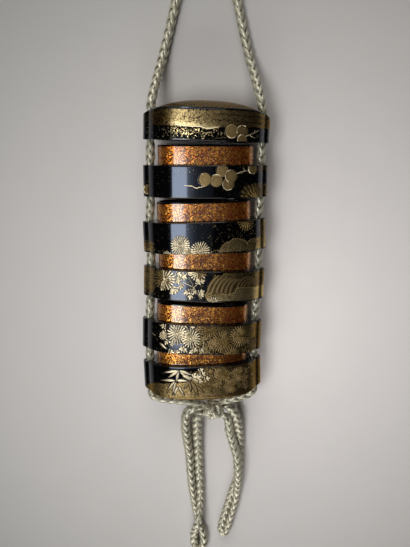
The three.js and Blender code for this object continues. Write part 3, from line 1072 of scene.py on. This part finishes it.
    def build(self):
        """Cuts the forms off at the wall's edges and lays them round the section."""
        mesh = bpy.data.meshes.new(self.name + "_maki_e")
        mesh.from_pydata(np.vstack(self.points).tolist(), [], self.faces)
        mesh.polygons.foreach_set("material_index", np.array(self.parts, np.int32))
        form = bmesh.new()
        form.from_mesh(mesh)
        for way in (-1, 1):
            bmesh.ops.bisect_plane(form, geom=form.verts[:] + form.edges[:] + form.faces[:],
                                   plane_co=(0, way * (self.half - RELIEF_MARGIN), 0), plane_no=(0, way, 0),
                                   clear_outer=True)
            bmesh.ops.holes_fill(form, edges=[e for e in form.edges if e.is_boundary], sides=0)
        form.to_mesh(mesh)
        form.free()
        flat = np.empty(len(mesh.vertices) * 3)
        mesh.vertices.foreach_get("co", flat)
        flat = flat.reshape(-1, 3)
        mesh.vertices.foreach_set("co", (on_wall(flat) * MM).ravel())
        for material in (GOLD, DULL_AND_SHADED_GOLD, SOFT_AND_SHADED_GOLD, SHADOW_BED_LOOK):
            mesh.materials.append(material)
        add_attribute(mesh, "raised", flat[:, 2])
        finish_mesh(mesh, 60)
        obj = bpy.data.objects.new(self.name + "_maki_e", mesh)
        bpy.context.collection.objects.link(obj)
        obj.matrix_world = place_matrix(self.name)
        hand_over(obj, self.name)


def decorate_lid(r):
    for place in ((14.4, -5.5, 2.2), (14.4, -2.1, 2.6), (10.1, -2.3, 2.9)):
        r.pine(*place)
    r.line([(15.3, -4.4), (17.5, -3.4), (19.2, -2.7), (21.4, -1.4)], 0.5, 0.2)
    r.line([(17.5, -3.4), (18.6, -4.2), (20.2, -4.6)], 0.35, 0.18)
    r.line([(19.2, -2.7), (19.6, -1.6)], 0.3, 0.18)
    r.scatter((-15, -7.5), (-4.2, -2.4), 16, 0.9)
    r.scatter((-4.6, -0.4), (-5.8, -3.2), 14, 0.9)
    r.scatter((0, 8), (-6, -2.5), 12, 0.7, DULL)
    r.line([(-13.5, -0.4), (-10, -0.6), (-6, -0.8), (-2.6, -0.8), (0, -1.5), (2.7, -1.2), (5.2, -0.7)],
           0.5, 0.2)


def decorate_first(r):
    for place in ((19.4, 5.3, 2.2), (9.2, -0.9, 2.6), (10.3, 2.4, 2.7), (6.7, 4.7, 2.6), (4.3, 0.7, 2.65),
                  (-0.5, 1.1, 2.75), (-25, -3.5, 2.1)):
        r.pine(*place)
    r.line([(-9, -1.4), (-7.2, -1.5), (-5.6, -1.6), (-4.4, -2.4), (-2.4, -2.1), (-0.3, -1.8)], 0.42, 0.18)
    r.line([(-5.8, -1.6), (-6.1, -1)], 0.3, 0.15)
    r.line([(-4.4, -2.4), (-4.6, -3.2)], 0.35, 0.15)
    r.line([(-0.4, -1.9), (0.2, -0.8)], 0.35, 0.15)
    r.line([(12.3, 3.3), (14.5, 3.9), (16.1, 4.4), (18.4, 4.6)], 0.55, 0.2)
    r.line([(14.5, 3.9), (14.9, 3.1)], 0.35, 0.18)
    r.line([(16.1, 4.4), (15.4, 5.6)], 0.35, 0.18)
    r.flower(20.5, -7, 6.6, 22, DULL)


def decorate_second(r):
    for flower in ((-2.1, -5.2, 4.3, 22), (-7, -6.2, 2.4, 14), (-16.3, -7, 2, 12), (-10.4, -2.8, 4.5, 24),
                   (17.8, 6.3, 4, 18, DULL)):
        r.flower(*flower)
    r.line(list(zip(ROCK_X[:5], ROCK_Y[:5])), 0.3, 0.16, SOFT)
    r.line([(9.9, -6.2), (10, -3.6), (11.4, -0.9), (14, -0.7), (16.4, -1.4), (17.9, -2.8), (18.2, -4.2)],
           0.32, 0.2, SOFT)
    r.line([(17.7, -3.2), (19.4, -1.7), (21.6, -1)], 0.3, 0.18, SOFT)
    for k in range(3):
        for furrow in (
            [(7.2 + 1.1 * k, -6.6), (7.9 + 0.9 * k, -4.2), (9.6 + 0.5 * k, -2.7 - 0.7 * k)],
            [(11.6 + 1.6 * k, -6.6), (12.2 + 1.5 * k, -4), (13 + 1.2 * k, -1.9 - 0.3 * k)],
            [(18.9 + 1.3 * k, -6.4), (19.2 + 1.2 * k, -4.4), (19.9 + k, -2.7)],
        ):
            r.line(furrow, 0.4, 0.14, DULL)


def decorate_third(r):
    # Petals on one side in a lighter or darker copy of the gold: painted light and shade.
    r.flower(-17.4, 2.8, 5.3, 22, BRIGHT, DULL)
    r.flower(-2.9, 6.4, 3.9, 18, SOFT, BRIGHT)
    r.flower(4.1, -6.3, 2.4, 14)
    for stem in ([(-10.4, 2.3), (-7.2, 1), (-4.6, -0.4), (-2.8, -3), (-1.4, -6.4)],
                 [(-7.1, 4.4), (-5.7, 2.2), (-4.6, -0.4)],
                 [(-0.8, 3.4), (-2.8, 1.6), (-4.6, -0.4), (-6, -2.2)]):
        r.line(stem, 0.3, 0.2)
    for leaf in (
        (-12.6, 5.8, 3.2, -20), (-12.4, 3.6, 3.4, -60), (-12, -0.2, 3.4, -95), (-12.6, -2.2, 2.8, -150),
        (-10.4, 2.2, 2.2, 130), (-6, -2, 3.2, 200), (-5.6, -2.6, 3.2, 260), (-5.2, -1.4, 2.4, 320),
        (-2.6, 2, 3.2, 20), (-3, 1.2, 2.6, 85), (-2.6, -2.6, 3, 20), (-2, -4.4, 2.6, 40),
        (-17.6, -0.6, 2.4, 240), (-14.2, -0.4, 2.6, 290), (-10.2, 5.4, 3.4, -35), (-10.6, 3.6, 3, 15),
        (-9.4, 1.2, 2.8, -110), (-8.2, 6.4, 3, -10),
    ):
        r.leaf(*leaf)
    for k in range(6):
        x = 1.5 + 1.9 * k
        r.line([(x, -2.2 - 0.2 * k), (x + 0.9, 0.6), (x + 2.5, 3.2 - 0.1 * k), (x + 4.6, 5.3 - 0.35 * k)],
               1.7, 0.14, SOFT)
    r.line([(7.6, 5.7), (10.4, 5.9), (13.4, 5.2)], 0.4, 0.26, DULL)
    for k in range(4):
        r.line([(14.2 + 1.5 * k, -0.1), (15 + 1.4 * k, 1.8 - 0.2 * k), (17 + 1.2 * k, 3.9 - 0.8 * k),
                (19.6 + 0.6 * k, 4.2 - k), (22.6, 2.4 - 0.6 * k)], 1.2, 0.14, SOFT)
    r.line([(1, -4), (4.6, -3.4), (8, -3), (11.2, -2.9), (13.2, -2.3), (13.9, -0.5), (18, -0.4), (23, -0.6)],
           0.4, 0.3, SOFT)


def decorate_fourth(r):
    for flower in ((2.9, 5, 3.6, 18, DULL), (-10.9, 2.6, 4.8), (-4.9, 0.8, 4.5), (-17.2, 1, 1.9, 12)):
        r.flower(*flower)
    for leaf in (
        (-15.8, 5.2, 3, 170), (-15.6, 2.9, 2.6, 190), (-14.8, -0.6, 2.8, 235), (-13.4, -1, 2.4, 280),
        (2.2, -2.4, 3.2, 60), (3, -1.6, 3.4, 20), (2.2, -2.6, 3, -20), (2.8, 0.6, 2.8, 80),
        (-8.8, -3.8, 3, -30), (-7.4, -3.4, 2.8, 200), (-4.4, -3.6, 3, -20), (-3.4, -4.6, 2.6, 210),
        (-1, -4.8, 2.2, 30), (-14.8, -5.6, 3, -10), (-12, -6, 2.6, 10), (-8.6, 6, 2.6, 20),
        (-5.6, 6, 2.4, 0),
    ):
        r.leaf(*leaf, SOFT if leaf[0] > 1 else BRIGHT)
    r.blade(-18.6, -2.4, 4.4, -42, width=1.3)
    r.blade(-20.5, 0.4, 2.6, 150, width=0.7)
    r.line([(0.7, -0.6), (0.5, -3.2), (0.8, -6.3)], 0.35, 0.22)
    r.line([(-1.6, -2.6), (-0.2, -4.4), (0.6, -6.3)], 0.25, 0.18)
    r.line([(6.6, 6.2), (6, 4.4), (5.2, 3)], 0.3, 0.2, DULL)
    # Left petals in the lighter gold: painted light on the side towards the window.
    for flower in ((8.4, -0.6, 4.9, 24), (16.6, 1.6, 5, 24), (13.4, -7, 4, 22)):
        r.flower(*flower, DULL, SOFT)
    r.flower(23, -3.6, 3.6, 20, DULL)
    r.engrave((7, 23), (-6, 7), 12)


def decorate_bottom(r):
    for blade in (
        (-10.4, 5.6, 7.6, 184, 0.1), (-10.8, 5.2, 5.6, 206), (-10, 5.8, 6.2, -14, -0.12),
        (-9.8, 5.2, 6.4, -38, -0.1), (-10.6, 4.8, 4.6, 250, 0.1), (-12.2, 1, 7.2, 178, 0.08),
        (-12.4, 0.6, 5.6, 226, 0.1), (-11.9, 0.4, 6.4, 250, 0.06), (-11.4, 1.2, 5.2, 4, -0.12),
        (-11.6, 1.6, 4.4, 66, 0.1), (-7.4, 4, 3.8, -50, 0.1), (-10.6, -1.6, 4.6, -66, 0.08),
        (-11, -1.8, 4.4, 236, 0.08), (-8.6, 3.2, 4, -12, 0.1),
    ):
        r.blade(*blade)
    for blade in ((-5.4, 1, 5, -52, 0.06), (-5.8, 0.6, 4.6, -84, 0.06), (-6, 0.4, 4, 226, 0.1),
                  (-4.9, 0.4, 5.6, -68, -0.06), (-2.6, -1.4, 4.4, -50, 0.08), (-3.4, -1.6, 4.2, -80, 0.08)):
        r.blade(*blade, 1.1, SOFT)
    for leaf in ((-4.6, 1.8, 3.4, 60), (-3.6, 2.2, 3.4, 20), (-2.6, 1.6, 3, -20), (-0.8, 3.2, 3, 40),
                 (0.6, 1.8, 3, 10), (2.6, 3.6, 2.8, 60), (4.2, 2.4, 3, 20), (-1.6, 5.4, 2.6, 30),
                 (2, 5.6, 2.6, 0)):
        r.leaf(*leaf, SOFT if leaf[0] > 1 else BRIGHT)
    # Left petals in the lighter gold: painted light on the side towards the window.
    for flower in ((8.6, 3.4, 3.8), (16, 2.8, 3.6), (12.4, -2.4, 3.4)):
        r.flower(*flower, 20, DULL, SOFT)
    r.line([(6.4, 6.6), (7, 2.4), (6.2, -2.4), (7.4, -6.2)], 0.28, 0.2, SOFT)
    r.line([(-2.6, 1.6), (0.6, -0.6), (3, -3.6)], 0.25, 0.2, SOFT)
    r.engrave((3, 22), (-4.5, 6), 18)
    for leaf in ((4.6, 4.4, 3.4, 30), (6, 0.6, 3.2, -30), (10.4, 0.4, 3, 60), (14.2, -0.4, 3.2, 10),
                 (18.6, -1.2, 3.4, 70), (19.8, 2.4, 3, 110)):
        r.leaf(*leaf, SOFT)
    for x, y, far_x, far_y in ((3.4, -2.4, 7.2, 3), (9.2, -3.6, 13.8, 1.4), (16.2, -3.4, 20.6, 1.2),
                               (12.4, 5.6, 17, -0.8), (20.8, 5, 17.8, 0.4)):
        r.line([(x, y), ((x + far_x) / 2, (y + far_y) / 2 + 0.5), (far_x, far_y)], 0.28, 0.2, SOFT)


def decorate_back(r, kind):
    """The back's plainer share: a few of the same plants well apart."""
    if kind == "pine":
        for place in ((-13.5, 0.8, 2.4), (-17.4, -0.6, 2.2), (-15.6, 3, 2), (13, -2.6, 2.2)):
            r.pine(*place, front=False)
        r.line([(-20.6, -2.6), (-17.5, -2.8), (-14, -2.4)], 0.5, 0.2, front=False)
    if kind == "flower":
        r.flower(-14.2, -1.4, 3.9, 18, front=False)
        r.flower(12.4, 2.4, 3.4, 18, front=False)
        for leaf in ((-18.2, 2.2, 3, 40), (-10.8, -3.4, 2.8, -40), (15.8, -0.6, 3, 240),
                     (9.4, -0.8, 2.8, 220)):
            r.leaf(*leaf, front=False)
    if kind == "grass":
        for k, heading in enumerate((150, 185, 215, 330, 0, 35)):
            r.blade(-13.6, 0.4 + 0.2 * k, 5.2, heading, 0.1, 1.2, front=False)
            r.blade(14.4, -0.8 + 0.2 * k, 4.2, heading + 20, 0.1, 1.1, front=False)


FRONTS = (decorate_lid, decorate_first, decorate_second, decorate_third, decorate_fourth, decorate_bottom)
BACKS = ("pine", "pine", "flower", "flower", "flower", "grass")


def make_decorations():
    for seed, (name, front, back) in enumerate(zip(PLACES, FRONTS, BACKS)):
        relief = Relief(name, seed)
        front(relief)
        decorate_back(relief, back)
        relief.build()


def place_matrix(name):
    x, y, turn, _ = PLACES[name]
    return (Matrix.Translation((x * MM, y * MM, AXIS_HEIGHT * MM))
            @ Matrix.Rotation(math.radians(turn), 4, "Z"))


def make_sections():
    forms = {"lid": lid_form(), "case": case_form(), "bottom": bottom_form()}
    for name, (_, _, _, wall) in PLACES.items():
        form = forms["lid" if name == "lid" else "bottom" if name == "bottom_case" else "case"]
        obj = form.build(name + "_body")
        drill_channels(obj, wall / 2)
        finish_mesh(obj.data, 40)
        sprinkle(obj.data, name)
        obj.matrix_world = place_matrix(name)
        hand_over(obj, name)


make_sections()
make_decorations()

# --- stage and light


def make_stage():
    size = 900
    floor = make_object("floor", [(-size, -size, 0), (size, -size, 0), (size, size, 0), (-size, size, 0)],
                        [[0, 1, 2, 3]], [FLOOR_LOOK])


def area_light(name, across, along, distance, size, radiance, colour):
    """A soft light seen from the origin at angles from straight up: across towards +x, along towards +y."""
    data = bpy.data.lights.new(name, "AREA")
    data.shape = "RECTANGLE"
    data.size, data.size_y = size
    data.energy = radiance * math.pi * size[0] * size[1]
    data.color = colour
    light = bpy.data.objects.new(name, data)
    z = unit(np.array([math.tan(math.radians(across)), math.tan(math.radians(along)), 1.0]))
    y = unit(np.cross(z, (1, 0, 0)))
    x = np.cross(y, z)
    rows = [[*v, p] for v, p in zip(np.column_stack([x, y, z]), z * distance)]
    light.matrix_world = Matrix(rows + [[0, 0, 0, 1]])
    bpy.context.collection.objects.link(light)


def make_lights():
    area_light("window", -24.5, -9, 0.75, (0.26, 0.32), 8.6, COOL)
    for k, radiance in enumerate((1.7, 0.95, 0.45, 0.28, 0.19, 0.14)):
        area_light(f"window_fade_{k + 1}", -13 + 3.4 * k, -9, 0.75, (0.045, 0.34), radiance, COOL)
    area_light("low_front_light", -20, -62, 0.9, (0.7, 0.4), 4.8, WARM)
    area_light("low_back_light", -16, 58, 0.9, (0.7, 0.5), 3.9, WARM)
    world = bpy.data.worlds.new("world")
    bpy.context.scene.world = world
    world.use_nodes = True
    background = world.node_tree.nodes["Background"]
    background.inputs[0].default_value = (1.0, 0.95, 0.9, 1)
    background.inputs[1].default_value = 0.012
    bpy.context.scene.view_settings.view_transform = "Standard"


make_stage()
make_lights()
